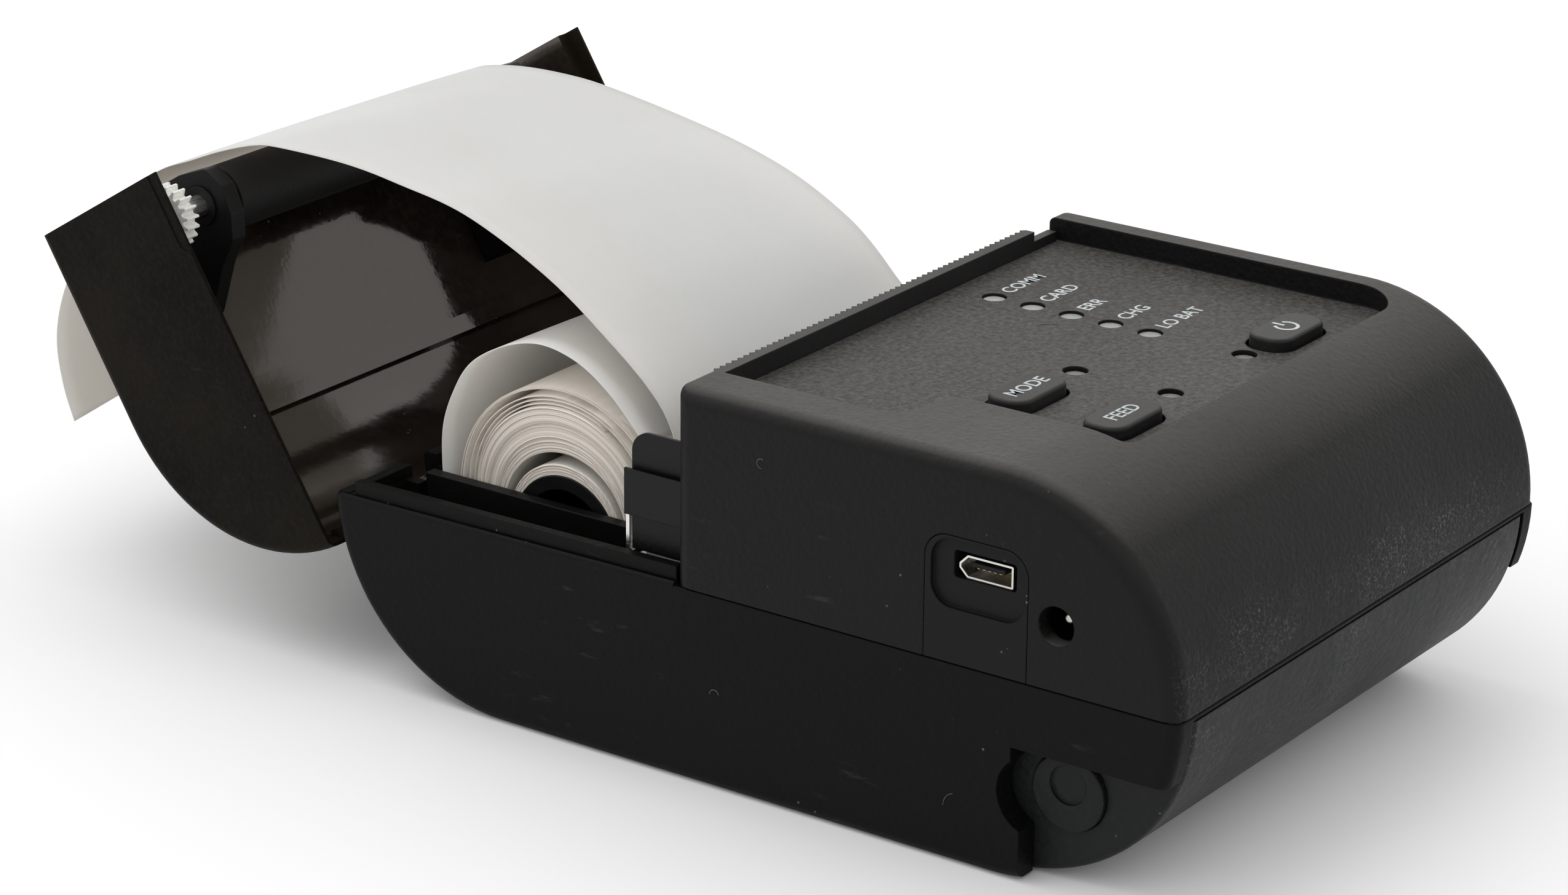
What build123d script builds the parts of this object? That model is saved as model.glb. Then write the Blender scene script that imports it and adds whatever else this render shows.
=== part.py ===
from build123d import *
import os
from math import asin, atan2, cos, degrees, hypot, pi, radians, sin

# Portable receipt printer with its paper door open, in millimetres.
# Origin: middle of the footprint, on the table.  +X runs along the rollers, -Y is the
# user's side with the keys, +Y is the hinge side, +Z is up.
os.makedirs("parts", exist_ok=True)

# ---------------------------------------------------------------- driving dimensions
half_width = 43.65
wall = 2.2
inside = half_width - wall            # inner faces of the side walls
edge_radius = 1.5
gap = 0.3                             # clearance between pieces that move apart

front_radius = 24.8                   # rounded front, below and above the seam
front_y = -37.0                       # centre of the rounded front
seam_z = 25.0
upper_front_z = 25.5
cover_top = seam_z + 25.3
cover_back = 8.3
panel_floor = 47.3                    # floor of the key panel recess
panel_under = 45.3

rear_radius = 26.3                    # rounded back of the lower case
rear_y = 35.5
rim_front = 25.5                      # top of the lower case's rim behind the cover
rim_rear = 24.9

hinge_y, hinge_z = 59.3, 20.9
door_open = 121.7                     # degrees from closed to the stored, open pose
door_radius = 25.3
door_y, door_z = 35.8, 24.6           # centre of the door's rounded back when closed
door_front = 8.6
door_top = door_z + door_radius

paper_half = 28.75                    # half of a 57.5 mm paper width
roll_y, roll_z, roll_radius = 36.6, 22.9, 17.6
core_y, core_z, core_radius, core_bore = 36.3, 19.9, 8.1, 6.3

platen_y, platen_z, platen_radius = 13.8, 32.2, 4.4
gear_module = 0.4
gear_near, gear_far = -39.4, -37.2    # the plane that all the gears share

battery_half = 40.0
battery_back = -13.9
battery_top = 24.3

# A plane whose coordinates are the (y, z) of the closed door, standing at the open pose.
open_turn = radians(-door_open)
closed_y_axis = Vector(0, cos(open_turn), sin(open_turn))
closed_z_axis = Vector(0, -sin(open_turn), cos(open_turn))
hinge_point = Vector(0, hinge_y, hinge_z)
door_origin = hinge_point - closed_y_axis * hinge_y - closed_z_axis * hinge_z
door_plane = Plane(origin=door_origin, x_dir=closed_y_axis, z_dir=(1, 0, 0))


# ---------------------------------------------------------------- helpers
def block(low, high, mode=Mode.ADD):
    """A box between two opposite corners."""
    size = [b - a for a, b in zip(low, high)]
    with Locations(tuple((a + b) / 2 for a, b in zip(low, high))):
        Box(*size, mode=mode)


def rod(plane, y, z, radius, x_from, x_to, mode=Mode.ADD):
    """A cylinder along X."""
    with BuildSketch(plane.offset(x_from)) as section:
        with Locations((y, z)):
            Circle(radius)
    extrude(section.sketch, amount=x_to - x_from, mode=mode)


def prism(plane, points, x_from, x_to, mode=Mode.ADD, radius=0):
    """A straight-sided outline in (y, z), pulled along X, with all its corners rounded."""
    with BuildSketch(plane.offset(x_from)) as section:
        with BuildLine():
            Polyline(*points, close=True)
        make_face()
        if radius:
            fillet(section.vertices(), radius)
    extrude(section.sketch, amount=x_to - x_from, mode=mode)


def both_sides(build, *args, mode=Mode.ADD):
    """Runs build for the left and for the right side, its X range mirrored."""
    x_from, x_to = args[-2:]
    build(*args[:-2], x_from, x_to, mode=mode)
    build(*args[:-2], -x_to, -x_from, mode=mode)


def long_side_arcs(piece):
    """The big arcs that run round the outer edge of both side walls."""
    edges = piece.edges().filter_by_position(Axis.X, half_width - 0.01, half_width + 0.01)
    edges += piece.edges().filter_by_position(Axis.X, -half_width - 0.01, -half_width + 0.01)
    return edges.filter_by(GeomType.CIRCLE).filter_by(lambda edge: edge.radius > 5)


def finish(piece, name):
    piece.part.label = name
    export_step(piece.part, f"parts/{name}.step")


def gear(teeth, y, z, phase, bore, plane=Plane.YZ):
    """A spur gear; phase is the angle of one tooth's middle, in degrees."""
    pitch = gear_module * teeth / 2
    tip = pitch + 0.9 * gear_module
    root = pitch - 1.25 * gear_module
    step = 360 / teeth
    points = []
    for i in range(teeth):
        middle = phase + i * step
        for radius, share in ((root, -0.30), (tip, -0.11), (tip, 0.11), (root, 0.30)):
            angle = radians(middle + share * step)
            points.append((y + radius * cos(angle), z + radius * sin(angle)))
    prism(plane, points, gear_near, gear_far)
    rod(plane, y, z, bore, gear_near - 1, gear_far + 1, mode=Mode.SUBTRACT)


# ---------------------------------------------------------------- outlines in (y, z)
rim_angle = degrees(asin((rim_rear - rear_radius) / rear_radius))
rim_back = rear_y + rear_radius * cos(radians(rim_angle))
with BuildSketch(Plane.YZ) as lower_outline:
    with BuildLine():
        CenterArc((rear_y, rear_radius), rear_radius, rim_angle, -90 - rim_angle)
        Line((rear_y, 0), (front_y, 0))
        CenterArc((front_y, front_radius), front_radius, 270, -90)
        front_face = front_y - front_radius
        Polyline(
            (front_face, front_radius),
            (front_face, seam_z),
            (cover_back, seam_z),
            (cover_back, rim_front),
            (rim_back, rim_rear),
        )
    make_face()

inner_rear = rear_radius - wall
partition_back = -11.6
with BuildSketch(Plane.YZ) as lower_hollow:
    with BuildLine():
        CenterArc((rear_y, rear_radius), inner_rear, 0, -90)
        Polyline(
            (rear_y, wall),
            (partition_back, wall),
            (partition_back, 30),
            (rear_y + inner_rear, 30),
            (rear_y + inner_rear, rear_radius),
        )
    make_face()

with BuildSketch(Plane.YZ) as cover_outline:
    with BuildLine():
        CenterArc((front_y, upper_front_z), front_radius, 90, 90)
        Polyline(
            (front_face, upper_front_z),
            (front_face, seam_z),
            (cover_back, seam_z),
            (cover_back, cover_top),
            (front_y, cover_top),
        )
    make_face()

cover_inner = front_radius - wall
roof_angle = degrees(asin((panel_under - upper_front_z) / cover_inner))
roof_front = front_y - cover_inner * cos(radians(roof_angle))
with BuildSketch(Plane.YZ) as cover_hollow:
    with BuildLine():
        CenterArc((front_y, upper_front_z), cover_inner, 180 - roof_angle, roof_angle)
        Polyline(
            (front_y - cover_inner, upper_front_z),
            (front_y - cover_inner, seam_z - 2),
            (cover_back + 2, seam_z - 2),
            (cover_back + 2, panel_under),
            (roof_front, panel_under),
        )
    make_face()

door_rim_front = rim_front + gap
door_rim_rear = 25.5
door_rim_angle = degrees(asin((door_rim_rear - door_z) / door_radius))
door_rim_back = door_y + door_radius * cos(radians(door_rim_angle))
with BuildSketch(door_plane) as door_outline:
    with BuildLine():
        CenterArc((door_y, door_z), door_radius, 90, door_rim_angle - 90)
        Polyline(
            (door_rim_back, door_rim_rear),
            (door_front, door_rim_front),
            (door_front, door_top),
            (door_y, door_top),
        )
    make_face()

door_skin = 2.0
with BuildSketch(door_plane) as door_hollow:
    with BuildLine():
        CenterArc((door_y, door_z), door_radius - door_skin, 90, -96)
        end = radians(-6)
        Polyline(
            (door_y + (door_radius - door_skin) * cos(end), door_z + (door_radius - door_skin) * sin(end)),
            (door_y + door_radius - door_skin, 18),
            (door_front - 2, 18),
            (door_front - 2, door_top - door_skin),
            (door_y, door_top - door_skin),
        )
    make_face()

# ---------------------------------------------------------------- lower case
tongue_near, tongue_far = inside, 42.8
recess_back = -39.9
arm_near, arm_far = 25.9, 30.3        # hinge arms of the door, between the case's lugs
lug_depth = 1.5
boss_rows = (-6, 30)                  # screw bosses, on the flat part of the underside
seam_groove, seam_edge = 0.2, 0.15    # shadow line under the cover, and the edge below it
with BuildPart() as lower_case:
    extrude(lower_outline.sketch, amount=half_width, both=True)
    fillet(long_side_arcs(lower_case), edge_radius)
    rear_edge = lower_case.edges().filter_by(Axis.X).filter_by_position(Axis.Y, rim_back - 0.05, rim_back + 0.05)
    fillet(rear_edge, 0.7)
    seam_front = lower_case.edges().filter_by(Axis.X).filter_by_position(Axis.Z, seam_z - 0.01, seam_z + 0.01)
    chamfer(seam_front.sort_by(Axis.Y)[0], seam_edge)
    extrude(lower_hollow.sketch, amount=inside, both=True, mode=Mode.SUBTRACT)
    # battery bay, open to the front and below, under a deck
    block((-battery_half - gap, -63, -1), (battery_half + gap, battery_back + gap, battery_top + gap),
          mode=Mode.SUBTRACT)
    block((-inside + 0.2, -59.2, battery_top + gap), (inside - 0.2, partition_back, 26))
    # finger recesses beside the battery, below a strip that runs round the corner
    with BuildSketch(Plane.YZ.offset(-half_width - 1)) as recess:
        with BuildLine():
            Polyline((recess_back, 15), (recess_back, 16.8), (-64, 16.8), (-64, -1), (-41.3, -1), (-41.3, 6.5))
            ThreePointArc((-41.3, 6.5), (-38.1, 11.3), (recess_back, 15))
        make_face()
    extrude(recess.sketch, amount=2 * half_width + 2, mode=Mode.SUBTRACT)
    # raised tongue inside the rim, with a fine groove outside it
    tongue = [(8.4, 24.6), (8.4, rim_front + 1.7), (58.6, rim_rear + 1.7), (58.6, 23.8)]
    both_sides(prism, Plane.YZ, tongue, tongue_near, tongue_far)
    groove = [(cover_back, rim_front - 0.6), (cover_back, 28), (61.0, 28), (61.0, rim_rear - 0.6)]
    both_sides(prism, Plane.YZ, groove, tongue_far, tongue_far + 0.3, mode=Mode.SUBTRACT)
    # low tongue behind the hinge, at both ends of the back wall
    rear_tongue = [(59.4, 23.8), (59.4, rim_rear + 0.2), (60.1, rim_rear + 0.2), (60.1, 23.8)]
    both_sides(prism, Plane.YZ, rear_tongue, arm_far + 0.7, tongue_far)
    # hinge: lugs inside the back wall, and a slot for each arm of the door
    for near in (arm_near - 0.3 - lug_depth, arm_far + 0.3):
        both_sides(prism, Plane.YZ, [(57.2, 18.5), (60.4, 17.4), (60.4, 23.4), (57.2, 23.4)],
                   near, near + lug_depth)
    slot = [(56.4, 15.9), (63, 15.9), (63, 28), (56.4, 28)]
    both_sides(prism, Plane.YZ, slot, arm_near - 0.3, arm_far + 0.3, mode=Mode.SUBTRACT)
    both_sides(rod, Plane.YZ, hinge_y, hinge_z, 1.22, arm_near - 2.0, arm_far + 2.0, mode=Mode.SUBTRACT)
    # screw bosses
    for y in boss_rows:
        with BuildSketch(Plane.XY) as boss:
            with Locations((-36, y), (36, y)):
                Circle(3.2)
        extrude(boss.sketch, amount=5.8)
        with Locations((-36, y, 0), (36, y, 0)):
            Cylinder(1.3, 20, mode=Mode.SUBTRACT)
            Cylinder(2.6, 4.4, mode=Mode.SUBTRACT)
finish(lower_case, "lower_case")

with BuildPart() as case_screws:
    for x in (-36, 36):
        for y in boss_rows:
            with BuildSketch(Plane.XY.offset(0.5)) as head:
                with Locations((x, y)):
                    Circle(2.3)
            extrude(head.sketch, amount=1.6)
            with BuildSketch(Plane.XY.offset(2.1)) as shank:
                with Locations((x, y)):
                    Circle(1.2)
            extrude(shank.sketch, amount=3.5)
            with Locations((x, y, 0.5)):
                Box(3.0, 0.6, 1.2, mode=Mode.SUBTRACT)
                Box(0.6, 3.0, 1.2, mode=Mode.SUBTRACT)
finish(case_screws, "case_screws")

with BuildPart() as hinge_pins:
    both_sides(rod, Plane.YZ, hinge_y, hinge_z, 1.2, arm_near - 1.9, arm_far + 1.9)
finish(hinge_pins, "hinge_pins")

# ---------------------------------------------------------------- upper cover
key_x = {"mode": -15.1, "feed": -15.9, "power": 22.8}
key_y = {"mode": -22.9, "feed": -36.7, "power": -36.5}
key_length, key_depth, key_corner = 11.8, 6.2, 2.6
led_column, key_led_column = 14.2, -3.2
led_row_pitch = 5.75
led_front_row, key_row = -22.2, -35.6
status_leds = [(led_column, led_front_row + i * led_row_pitch) for i in range(5)]
key_leds = [(key_led_column, led_front_row), (key_led_column, key_row), (led_column, key_row)]
jack_y, jack_z, jack_radius = -45.55, 33.2, 2.38
bezel_back, bezel_front, bezel_top = -27.6, -41.8, 40.9
panel_front, panel_back = -43.9, 9.5
bar_seat = 7.7
panel_left, panel_step, panel_right = -36.0, -26.3, 38.9

with BuildPart() as upper_cover:
    extrude(cover_outline.sketch, amount=half_width, both=True)
    back_top = upper_cover.edges().filter_by(Axis.X).filter_by_position(Axis.Z, cover_top - 0.01, cover_top + 0.01)
    fillet(back_top.sort_by(Axis.Y)[-1], 0.9)
    side_edges = upper_cover.edges().filter_by_position(Axis.X, half_width - 0.01, half_width + 0.01)
    side_edges += upper_cover.edges().filter_by_position(Axis.X, -half_width - 0.01, -half_width + 0.01)
    fillet(side_edges.filter_by_position(Axis.Z, seam_z + 0.3, cover_top + 1), 2.3)
    extrude(cover_hollow.sketch, amount=inside, both=True, mode=Mode.SUBTRACT)
    with BuildSketch(Plane.XY.offset(panel_floor)) as panel:
        with BuildLine():
            Polyline(
                (panel_left, panel_back), (panel_left, -19.0), (panel_step, -19.4), (panel_step, panel_front),
                (panel_right, panel_front), (panel_right, panel_back), close=True,
            )
        make_face()
        corners = panel.vertices().sort_by(Axis.Y)
        fillet(corners[2:4], 3.6)
        front_corners = panel.vertices().sort_by(Axis.Y)[0:2].sort_by(Axis.X)
        fillet(front_corners[0], 1.8)
        front_corners = panel.vertices().sort_by(Axis.Y).group_by(Axis.Y)[0].sort_by(Axis.X)
        fillet(front_corners[-1], 5.0)
    extrude(panel.sketch, amount=10, mode=Mode.SUBTRACT)
    # seat of the tear bar, behind the panel floor
    block((panel_left, bar_seat, 43), (panel_right, cover_back + 1, cover_top + 1), mode=Mode.SUBTRACT)
    # holes for the keys and the light pipes
    with BuildSketch(Plane.XY.offset(panel_under - 1)) as openings:
        for name in key_x:
            with Locations((key_x[name], key_y[name])):
                RectangleRounded(key_length + 0.6, key_depth + 0.6, key_corner + 0.3)
        with Locations(*status_leds, *key_leds):
            Circle(1.6)
    extrude(openings.sketch, amount=4, mode=Mode.SUBTRACT)
    # charging jack and the tab-shaped cut-out for the data port's bezel
    rod(Plane.YZ, jack_y, jack_z, jack_radius, -half_width - 1, -inside + 0.5, mode=Mode.SUBTRACT)
    with BuildSketch(Plane.YZ.offset(-half_width - 1)) as bezel_cut:
        with BuildLine():
            Polyline((bezel_front, seam_z - 1), (bezel_front, bezel_top), (bezel_back, bezel_top),
                     (bezel_back, seam_z - 1), close=True)
        make_face()
        fillet(bezel_cut.vertices().group_by(Axis.Y)[-1], 3.2)
    extrude(bezel_cut.sketch, amount=wall + 1.5, mode=Mode.SUBTRACT)
    # groove along the seam with the lower case
    seam = [(front_face - 1, seam_z - 1), (front_face - 1, seam_z + seam_groove),
            (cover_back + 1, seam_z + seam_groove), (cover_back + 1, seam_z - 1)]
    both_sides(prism, Plane.YZ, seam, half_width - 0.3, half_width + 1, mode=Mode.SUBTRACT)
    block((-half_width - 1, front_face - 1, seam_z - 1),
          (half_width + 1, front_face + 0.3, seam_z + seam_groove), mode=Mode.SUBTRACT)
finish(upper_cover, "upper_cover")

bezel_gap = 0.12
port_low, port_high, port_front, port_back = 35.6, 39.0, -39.8, -31.3
with BuildPart() as port_bezel:
    with BuildSketch(Plane.YZ.offset(-half_width)) as tab:
        with BuildLine():
            Polyline((bezel_front + bezel_gap, seam_z + seam_groove), (bezel_front + bezel_gap, bezel_top - bezel_gap),
                     (bezel_back - bezel_gap, bezel_top - bezel_gap), (bezel_back - bezel_gap, seam_z + seam_groove),
                     close=True)
        make_face()
        fillet(tab.vertices().group_by(Axis.Y)[-1], 3.2 - bezel_gap)
    extrude(tab.sketch, amount=wall)
    with BuildSketch(Plane.YZ.offset(-half_width - 0.1)) as frame_recess:
        with Locations(((bezel_front + bezel_back) / 2 - 0.25, 36.2)):
            RectangleRounded(12.9, 8.6, 2.9)
    extrude(frame_recess.sketch, amount=0.7, mode=Mode.SUBTRACT)
    with BuildSketch(Plane.YZ.offset(-half_width - 0.1)) as port:
        with Locations(((port_front + port_back) / 2, (port_low + port_high) / 2)):
            RectangleRounded(port_back - port_front, port_high - port_low, 0.5)
    extrude(port.sketch, amount=wall + 1, mode=Mode.SUBTRACT)
finish(port_bezel, "port_bezel")

# ---------------------------------------------------------------- serrated tear bar
tooth_pitch = 1.2
tooth_root = bar_seat + 0.5
bar_left, bar_right, bar_end, bar_top = -35.4, 33.0, 38.4, 49.95
bar_step = 1.3                        # how far the plain right end stands below the toothed part
with BuildPart() as tear_bar:
    block((bar_left, bar_seat + 0.05, 44), (bar_right, tooth_root, bar_top))
    block((bar_left, bar_seat + 0.05, 44), (bar_end, tooth_root, bar_top - bar_step))
    count = int((bar_right - bar_left) / tooth_pitch)
    teeth = [(bar_left, tooth_root - 0.3)]
    for i in range(count):
        start = bar_left + i * tooth_pitch
        teeth += [(start, tooth_root), (start + tooth_pitch / 2, tooth_root + 0.6)]
    teeth += [(bar_left + count * tooth_pitch, tooth_root), (bar_left + count * tooth_pitch, tooth_root - 0.3)]
    with BuildSketch(Plane.XY.offset(bar_top - 0.7)) as comb:
        with BuildLine():
            Polyline(*teeth, close=True)
        make_face()
    extrude(comb.sketch, amount=0.7)
    block((bar_left, bar_seat - 0.8, panel_floor + 0.02), (bar_right, bar_seat + 0.1, bar_top))
    block((bar_left, bar_seat - 0.8, panel_floor + 0.02), (bar_end, bar_seat + 0.1, bar_top - bar_step))
finish(tear_bar, "tear_bar")

# ---------------------------------------------------------------- keys and light pipes
key_top, flange_low = 48.8, 44.5
for name in key_x:
    with BuildPart() as key:
        with BuildSketch(Plane.XY.offset(flange_low)) as flange:
            with Locations((key_x[name], key_y[name])):
                RectangleRounded(key_length + 1.6, key_depth + 1.6, key_corner)
        extrude(flange.sketch, amount=0.6)
        with BuildSketch(Plane.XY.offset(flange_low + 0.6)) as cap:
            with Locations((key_x[name], key_y[name])):
                RectangleRounded(key_length, key_depth, key_corner)
        extrude(cap.sketch, amount=key_top - flange_low - 0.6, taper=3)
        fillet(key.faces().sort_by(Axis.Z)[-1].edges(), 0.5)
    finish(key, f"{name}_key")

pipe_low, pipe_radius = 42.2, 1.48
for name, places, pipe_high in (("status_light_pipes", status_leds, 46.95), ("key_light_pipes", key_leds, 46.7)):
    with BuildPart() as pipes:
        with BuildSketch(Plane.XY.offset(pipe_low)) as lenses:
            with Locations(*places):
                Circle(pipe_radius)
        extrude(lenses.sketch, amount=pipe_high - pipe_low)
    finish(pipes, name)

# ---------------------------------------------------------------- electronics
with BuildPart() as keypad_board:
    block((-27, -42.5, 40.0), (31, 4, 41.2))
finish(keypad_board, "keypad_board")

with BuildPart() as key_switches:
    for name in key_x:
        x, y = key_x[name], key_y[name]
        block((x - 3, y - 3, 41.22), (x + 3, y + 3, 43.0))
        with Locations((x, y, 43.41)):
            Cylinder(1.7, 0.78)
finish(key_switches, "key_switches")

with BuildPart() as indicator_leds:
    for x, y in status_leds + key_leds:
        block((x - 0.8, y - 0.6, 41.22), (x + 0.8, y + 0.6, 41.9))
finish(indicator_leds, "indicator_leds")

board_top = 35.6
with BuildPart() as main_board:
    block((-40, -52, board_top - 1.6), (38, -5, board_top))
    block((-41, -53, 30), (-27.5, -40.8, 38), mode=Mode.SUBTRACT)
finish(main_board, "main_board")

with BuildPart() as board_components:
    block((-8, -34, board_top + 0.02), (4, -22, board_top + 1.6))
    block((12, -30, board_top + 0.02), (21, -21, board_top + 1.4))
    block((-20, -16, board_top + 0.02), (10, -11, board_top + 3.0))
    for x in (-20, -14, 26, 31):
        with Locations((x, -44, board_top + 2.02)):
            Cylinder(2.0, 4.0)
finish(board_components, "board_components")

socket_front, socket_back, socket_low, socket_high = -39.1, -31.8, 35.72, 38.5
socket_out, socket_in = -42.7, -37.0
with BuildPart() as data_socket:
    shell = [(socket_front, socket_low), (socket_back - 1.1, socket_low), (socket_back, socket_low + 1.1),
             (socket_back, socket_high - 1.1), (socket_back - 1.1, socket_high), (socket_front, socket_high)]
    prism(Plane.YZ, shell, socket_out, socket_in, radius=0.2)
    skin = 0.24
    hollow = [(socket_front + skin, socket_low + skin), (socket_back - 1.2, socket_low + skin),
              (socket_back - skin, socket_low + 1.2), (socket_back - skin, socket_high - 1.2),
              (socket_back - 1.2, socket_high - skin), (socket_front + skin, socket_high - skin)]
    prism(Plane.YZ, hollow, socket_out - 1, socket_in - 0.8, mode=Mode.SUBTRACT)
finish(data_socket, "data_socket")

socket_middle = (socket_front + socket_back) / 2
with BuildPart() as socket_tongue:
    block((socket_out + 0.5, socket_middle - 2.2, 37.0), (socket_in - 0.82, socket_middle + 2.2, 37.55))
finish(socket_tongue, "socket_tongue")

with BuildPart() as socket_contacts:
    for i in range(-2, 3):
        y = socket_middle + 0.75 * i
        block((socket_out + 0.7, y - 0.17, 36.86), (socket_in - 0.9, y + 0.17, 36.99))
finish(socket_contacts, "socket_contacts")

with BuildPart() as power_jack:
    block((-inside + 0.2, jack_y - 4.6, jack_z - 4.5), (-28, jack_y + 4.1, jack_z + 4.5))
    rod(Plane.YZ, jack_y, jack_z, 2.65, -inside, -31.5, mode=Mode.SUBTRACT)
finish(power_jack, "power_jack")

with BuildPart() as jack_pin:
    rod(Plane.YZ, jack_y, jack_z, 0.65, -41.0, -31.5)
    fillet(jack_pin.edges().sort_by(Axis.X)[0], 0.3)
finish(jack_pin, "jack_pin")

# ---------------------------------------------------------------- print mechanism in the case
plate_low, plate_high, plate_back = 26.45, 26.75, 17.75
with BuildPart() as chassis_plate:
    block((-40.4, -3, plate_low), (40.4, plate_back - 1.2, plate_high))
    both_sides(prism, Plane.YZ, [(14, plate_low), (plate_back, plate_low), (plate_back, plate_high), (14, plate_high)],
               35.5, 40.4)
    both_sides(prism, Plane.YZ, [(plate_back - 0.5, plate_low), (plate_back, plate_low), (plate_back, 31.2),
                                 (plate_back - 0.5, 31.2)], 37.9, 40.4)
    # window for the gears, and a relief round the platen's gear in the left flange
    block((-42, 5.2, plate_low - 1), (gear_far + 0.9, 16.9, plate_high + 1), mode=Mode.SUBTRACT)
    rod(Plane.YZ, platen_y, platen_z, 4.7, gear_near - 0.35, gear_far + 0.9, mode=Mode.SUBTRACT)
finish(chassis_plate, "chassis_plate")

bracket_low = plate_high + 0.02
bracket_out, plate_out, plate_in = -41.1, gear_near - 0.8, gear_near - 0.35
with BuildPart() as left_bracket:
    block((bracket_out, -2.5, bracket_low), (-36.0, 5.2, 42.0))
    block((bracket_out, 5.0, 31.4), (bracket_out + 0.4, 17.5, 37.3))
    block((bracket_out, 5.0, 31.4), (plate_in, 17.4, 33.0))
    side_plate = [(5, bracket_low), (16.95, bracket_low), (16.95, 42.0), (5, 42.0)]
    prism(Plane.YZ, side_plate, plate_out, plate_in)
    plate_corner = left_bracket.edges().filter_by(Axis.X).filter_by_position(Axis.Z, 41.9, 42.1)
    fillet(plate_corner.sort_by(Axis.Y)[-1], 2.6)
finish(left_bracket, "left_bracket")

with BuildPart() as right_bracket:
    prism(Plane.YZ, [(-2.5, bracket_low), (17.2, bracket_low), (17.2, 36), (12, 39.5), (8, 44), (-2.5, 44)],
          36.8, 40.6, radius=1.2)
finish(right_bracket, "right_bracket")

head_y, head_z, head_pin = 6.65, 30.4, 0.8      # pivot of the sprung print head
spring_places, spring_z = (-18, 0, 18), 36.0
with BuildPart() as head_beam:
    block((-35.9, -2.2, bracket_low), (36.7, 0.6, 39.6))
    block((-30.7, -2.2, bracket_low), (30.7, 3.8, 28.4))
    both_sides(prism, Plane.YZ, [(3, bracket_low), (7.8, bracket_low), (7.8, 31.8), (5.6, 31.8), (3, 28.4)],
               29.1, 30.7)
    both_sides(rod, Plane.YZ, head_y, head_z, head_pin, 27.0, 29.2)
    for x in spring_places:
        rod(Plane.XZ, x, spring_z, 1.2, -1.6, -0.5)
finish(head_beam, "head_beam")

with BuildPart() as heat_sink:
    block((-28.8, 5.4, 28.9), (28.8, 7.9, 43.0))
    for x in range(-24, 25, 8):
        block((x - 2.4, 5.0, 39.0), (x + 2.4, 6.4, 43.2), mode=Mode.SUBTRACT)
    both_sides(rod, Plane.YZ, head_y, head_z, head_pin + 0.05, 26.8, 29.0, mode=Mode.SUBTRACT)
finish(heat_sink, "heat_sink")

with BuildPart() as print_head:
    block((-28.5, 7.92, 28.9), (28.5, 8.8, 37.5))
    rod(Plane.YZ, 8.62, platen_z, 0.45, -28.2, 28.2)
finish(print_head, "print_head")

spring_radius, spring_wire, spring_turns = 2.0, 0.25, 5
with BuildPart() as head_springs:
    for x in spring_places:
        with BuildLine() as coil:
            Helix(pitch=3.6 / spring_turns, height=3.6, radius=spring_radius, center=(x, 0.95, spring_z),
                  direction=(0, 1, 0))
        with BuildSketch(Plane(coil.line @ 0, z_dir=coil.line % 0)) as wire:
            Circle(spring_wire)
        sweep(wire.sketch, path=coil.line, is_frenet=True)
finish(head_springs, "head_springs")

# gear train on the left: platen gear (on the door) / drive gear / idler / motor pinion
platen_teeth, drive_teeth, idler_teeth, pinion_teeth = 20, 28, 24, 12
backlash = 0.06


def meshed(y, z, teeth, other_teeth, direction):
    """Centre of a gear that meshes with the one at (y, z), in a direction in degrees."""
    reach = gear_module * (teeth + other_teeth) / 2 + backlash
    return y + reach * cos(radians(direction)), z + reach * sin(radians(direction))


drive_direction, idler_direction, pinion_direction = -104, -143, -156
drive_y, drive_z = meshed(platen_y, platen_z, platen_teeth, drive_teeth, drive_direction)
idler_y, idler_z = meshed(drive_y, drive_z, drive_teeth, idler_teeth, idler_direction)
pinion_y, pinion_z = meshed(idler_y, idler_z, idler_teeth, pinion_teeth, pinion_direction)


def mesh_phase(phase, teeth, other_teeth, direction):
    """Phase of a gear whose space meets the first gear's tooth along the line of centres."""
    past_tooth = (direction - phase) / (360 / teeth)
    return direction + 180 + (0.5 + past_tooth) * 360 / other_teeth


platen_phase = drive_direction
drive_phase = mesh_phase(platen_phase, platen_teeth, drive_teeth, drive_direction)
idler_phase = mesh_phase(drive_phase, drive_teeth, idler_teeth, idler_direction)
pinion_phase = mesh_phase(idler_phase, idler_teeth, pinion_teeth, pinion_direction)

post_radius = 1.0
with BuildPart() as drive_gear:
    gear(drive_teeth, drive_y, drive_z, drive_phase, post_radius + 0.05)
finish(drive_gear, "drive_gear")

with BuildPart() as idler_gear:
    gear(idler_teeth, idler_y, idler_z, idler_phase, post_radius + 0.05)
finish(idler_gear, "idler_gear")

shaft_radius = 0.75
with BuildPart() as motor_pinion:
    gear(pinion_teeth, pinion_y, pinion_z, pinion_phase, shaft_radius)
finish(motor_pinion, "motor_pinion")

gear_plate_near, gear_plate_far = gear_far + 0.6, gear_far + 1.4
motor_front = gear_plate_far + 0.1
with BuildPart() as motor_shaft:
    rod(Plane.YZ, pinion_y, pinion_z, shaft_radius - 0.02, gear_near - 0.4, motor_front + 3)
finish(motor_shaft, "motor_shaft")

with BuildPart() as gear_plate:
    prism(Plane.YZ, [(-11, 6.2), (4, 6.2), (16.4, 18), (16.4, 26.1), (-11, 26.1)], gear_plate_near, gear_plate_far,
          radius=1.5)
    rod(Plane.YZ, pinion_y, pinion_z, 3.0, gear_plate_near - 1, gear_plate_far + 1, mode=Mode.SUBTRACT)
finish(gear_plate, "gear_plate")

with BuildPart() as gear_posts:
    for y, z in ((drive_y, drive_z), (idler_y, idler_z)):
        rod(Plane.YZ, y, z, post_radius, gear_near - 0.4, gear_plate_near - 0.02)
finish(gear_posts, "gear_posts")

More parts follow.
